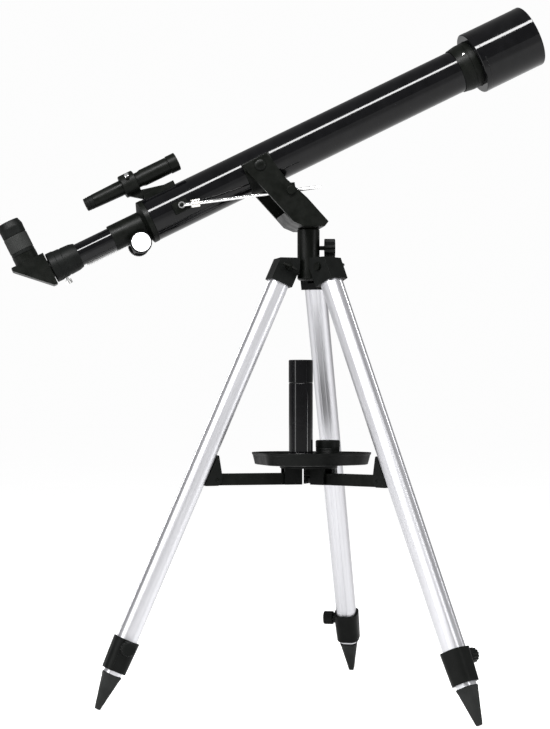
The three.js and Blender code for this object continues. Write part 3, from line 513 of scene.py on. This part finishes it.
def leg(number, direction):
    place = leg_frame(direction)
    body = f"leg_{number}"
    dress(f"leg_cap_{number}", PLASTIC, 1.3)
    dress(f"hinge_bolt_{number}", SATIN, 0.4)
    dress(f"brace_bracket_{number}", PLASTIC, 0.5)
    dress(f"brace_arm_{number}", SATIN, 0.4)
    dress(f"leg_collar_{number}", PLASTIC, 0.9)
    leg_tube(number, place, body)
    lower_leg(number, place, f"lower_leg_{number}")
    lock_screw(number, place, f"leg_lock_screw_{number}")


def leg_tube(number, place, body):
    """Both loops have the groove's points, so that they are of equal length. Inside it has no depth."""
    outer = rounded_outline(LEG_WIDE, LEG_DEEP, LEG_CORNER, 8, 0.7)
    inner = rounded_outline(INNER_WIDE + 1, INNER_DEEP + 1, INNER_CORNER, 8, 0)
    loops = [at_height(outer, -LEG_END), at_height(outer, -LEG_TOP),
             at_height(inner, -LEG_TOP), at_height(inner, -LEG_END)]
    points, faces = skin(loops, True)
    piece(f"leg_tube_shell_{number}", points, faces, place, body, BRUSHED, [f"leg_tube_{number}"], 0.2)


def lower_leg(number, place, body):
    node = f"lower_leg_{number}"
    outer = rounded_outline(INNER_WIDE, INNER_DEEP, INNER_CORNER)
    walls = 2 * INNER_WALL
    inner = rounded_outline(INNER_WIDE - walls, INNER_DEEP - walls, INNER_CORNER - INNER_WALL)
    low, high = -FOOT_TOP - 0.5, -FOOT_TOP + INNER_LENGTH
    loops = [at_height(outer, low), at_height(outer, high), at_height(inner, high), at_height(inner, low)]
    points, faces = skin(loops, True)
    piece(f"inner_leg_{number}", points, faces, place, body, BRUSHED, [node], 0.2)
    outline = rounded_outline(INNER_WIDE + 1, INNER_DEEP + 3, INNER_CORNER)
    height = LEG_LENGTH - FOOT_TOP
    taper = ((0, 0.93), (0.025, 1.0), (0.14, 0.9), (0.155, 0.87), (0.17, 0.87), (0.185, 0.865),
             (0.6, 0.57), (0.93, 0.34), (1, 0.27))
    loops = [at_height(outline, -FOOT_TOP - down * height, share) for down, share in taper]
    points, faces = skin(loops, False)
    piece(f"foot_{number}", points, faces, place, body, FOOT, [node], 0.4)


def lock_screw(number, place, body):
    spot = place @ Matrix.Translation((0, 0, -LOCK_AT * MM)) @ Matrix.Rotation(math.pi / 2, 4, "Z")
    start = LEG_WIDE / 2 + 0.6
    shank = [(start, 0), (start, LOCK_SHANK_R), (LOCK_SHANK_END, LOCK_SHANK_R), (LOCK_SHANK_END, 0)]
    turned(f"lock_screw_shank_{number}", shank, spot, body, CHROME, [], 0.3, 32)
    ribbed(f"lock_screw_knob_{number}", 20.5, 35.5, 10, 14, 1.2, spot, body, PLASTIC,
           [f"leg_lock_screw_{number}"], width=0.4, rim=1.2)


# ---- spreader, tray and accessories ------------------------------------------------------------


def tray_outline(inset, steps=20):
    points = []
    for direction in LEG_DIRECTIONS:
        middle = direction + math.pi / 3
        for i in range(steps + 1):
            angle = middle + math.pi / 3 * (2 * i / steps - 1)
            r = TRAY_ROUND - inset
            points.append((TRAY_CORNER * math.cos(middle) + r * math.cos(angle),
                           TRAY_CORNER * math.sin(middle) + r * math.sin(angle)))
    return points


def spreader():
    dress("spreader_hub", PLASTIC, 0.6)
    dress("tray_screw", PLASTIC, 0.4)
    rise = TRAY_TOP - TRAY_BOTTOM

    def ring(inset, z):
        share = 1 + (TRAY_TAPER - 1) * (TRAY_TOP - z) / rise
        return at_height(tray_outline(inset), z, share)

    well = TRAY_BOTTOM + 3
    loops = [ring(3, TRAY_BOTTOM), ring(0.8, TRAY_BOTTOM + 0.8), ring(0.6, TRAY_TOP - 3.4),
             ring(0, TRAY_TOP - 3), ring(0, TRAY_TOP - 0.4), ring(0.5, TRAY_TOP), ring(2.1, TRAY_TOP),
             ring(2.6, TRAY_TOP - 0.6), ring(2.7, well + 2), ring(5, well)]
    points, faces = skin(loops, False)
    piece("tray_shell", points, faces, UPRIGHT, "spreader", PLASTIC, ["tray"], 0.3)


def accessories():
    at = UPRIGHT @ Matrix.Translation((ERECTOR[0] * MM, ERECTOR[1] * MM, 0)) @ ALONG_Z
    erector = [(327.3, 0), (327.3, 16), (328.1, 16.8), (340, 16.8), (340.5, 16.3), (341.5, 16.3),
               (342, 16.6), (436, 16.6), (436.5, 16.2), (437.5, 16.2), (438, 16.8), (468.2, 16.8),
               (469, 16), (469, 12.6), (443.2, 12.6), (443.2, 0)]
    turned("erector_shell", erector, at, "spreader", GLOSS, ["erecting_eyepiece"], 0.2)
    at = UPRIGHT @ Matrix.Translation((SPARE[0] * MM, SPARE[1] * MM, 0)) @ ALONG_Z
    spare = [(327.3, 0), (327.3, 12), (327.5, 12.2), (337, 12.2), (338, 16.6), (340, 17)]
    for groove in range(341, 349, 2):
        spare += [(groove, 16.4), (groove + 1, 17)]
    spare += [(356.5, 17), (358, 15.5), (358, 9), (353, 7), (353, 0)]
    turned("spare_eyepiece_shell", spare, at, "spreader", PLASTIC, ["spare_eyepiece"], 0.2)


# ---- floor, light and camera -------------------------------------------------------------------

BACKDROP = 0.98                      # brightness of the backdrop as the camera sees it
ROOM_LIGHT = 0.35                    # brightness of the room as the object sees it
FLOOR_SHADE = 0.5                    # how much of the light the floor gives back
FLOOR_GLOW = BACKDROP - FLOOR_SHADE * ROOM_LIGHT
FLOOR_HALF = 30                      # metres


def floor():
    mesh = bpy.data.meshes.new("floor")
    points = [(x * FLOOR_HALF, y * FLOOR_HALF, 0) for x, y in ((-1, -1), (1, -1), (1, 1), (-1, 1))]
    mesh.from_pydata(points, [], [(0, 1, 2, 3)])
    paper = Recipe("pale light-table floor", (FLOOR_SHADE, FLOOR_SHADE, FLOOR_SHADE), 0.9)
    paper.set(Specular_IOR_Level=0.0, Emission_Color=(1, 1, 1, 1), Emission_Strength=FLOOR_GLOW)
    paper.tint(paper.noise(3, 3), (FLOOR_SHADE - 0.01,) * 3, (FLOOR_SHADE + 0.01,) * 3)
    mesh.materials.append(paper.material)
    obj = bpy.data.objects.new("floor", mesh)
    bpy.context.scene.collection.objects.link(obj)


def softbox(name, position, target, wide, tall, watts):
    light = bpy.data.lights.new(name, "AREA")
    light.shape = "RECTANGLE"
    light.size = wide
    light.size_y = tall
    light.energy = watts
    obj = bpy.data.objects.new(name, light)
    bpy.context.scene.collection.objects.link(obj)
    obj.location = position
    obj.rotation_euler = (Vector(target) - Vector(position)).to_track_quat("-Z", "Y").to_euler()
    obj.visible_camera = False


def strip_light(name, distance, above, length, width, watts):
    """A long light parallel to the tube, which shows in it `above` degrees over its middle line."""
    middle = TUBE @ Vector((0.1, 0, 0))
    along = (TUBE.to_3x3() @ Vector((1, 0, 0))).normalized()
    up = (TUBE.to_3x3() @ Vector((0, 0, 1))).normalized()
    facing = Vector((0, -1, 0)) * math.cos(2 * math.radians(above)) + up * math.sin(2 * math.radians(above))
    softbox(name, middle + facing * distance, middle, length, width, watts)
    light = bpy.context.scene.objects[name]
    across = facing.cross(along)
    light.rotation_euler = Matrix((along, across, facing)).transposed().to_euler()


def studio():
    world = bpy.data.worlds.new("studio")
    bpy.context.scene.world = world
    world.use_nodes = True
    nodes, links = world.node_tree.nodes, world.node_tree.links
    background = nodes["Background"]
    background.inputs["Color"].default_value = (1, 1, 1, 1)
    path = nodes.new("ShaderNodeLightPath")
    level = nodes.new("ShaderNodeMapRange")
    level.inputs["To Min"].default_value = ROOM_LIGHT
    level.inputs["To Max"].default_value = BACKDROP
    links.new(path.outputs["Is Camera Ray"], level.inputs["Value"])
    links.new(level.outputs["Result"], background.inputs["Strength"])
    bpy.context.scene.view_settings.view_transform = "Standard"
    strip_light("front strip", distance=1.5, above=22, length=2.6, width=0.25, watts=110)
    middle = (0, 0, 0.5)
    softbox("left softbox", (-2.2, -1.2, 0.9), middle, wide=0.4, tall=1.8, watts=18)
    softbox("right softbox", (2.1, -1.4, 0.9), middle, wide=0.3, tall=1.8, watts=24)


CAMERA_DISTANCE = 2500
CAMERA_ASIDE = -46.6
CAMERA_HEIGHT = 405
CAMERA_BEARING = math.radians(-98)
CAMERA_PITCH = math.radians(1.33)
CAMERA_FOCAL_PIXELS = 1800
PICTURE_HEIGHT = 729
SENSOR = 36


def camera():
    data = bpy.data.cameras.new("camera")
    data.sensor_width = SENSOR
    data.lens = CAMERA_FOCAL_PIXELS / PICTURE_HEIGHT * SENSOR
    data.clip_end = 100
    obj = bpy.data.objects.new("camera", data)
    bpy.context.scene.collection.objects.link(obj)
    away = Vector((math.cos(CAMERA_BEARING), math.sin(CAMERA_BEARING), 0))
    right = Vector((-away.y, away.x, 0))
    home = (away * CAMERA_DISTANCE + right * CAMERA_ASIDE + Vector((0, 0, CAMERA_HEIGHT))) * MM
    obj.location = home + SHIFT
    look = -away * math.cos(CAMERA_PITCH) + Vector((0, 0, math.sin(CAMERA_PITCH)))
    obj.rotation_euler = look.to_track_quat("-Z", "Y").to_euler()
    bpy.context.scene.camera = obj


floor()
studio()
camera()
optical_tube()
focuser()
diagonal_and_eyepiece()
finder()
mount()
for index, heading in enumerate(LEG_DIRECTIONS, start=1):
    leg(index, heading)
spreader()
accessories()
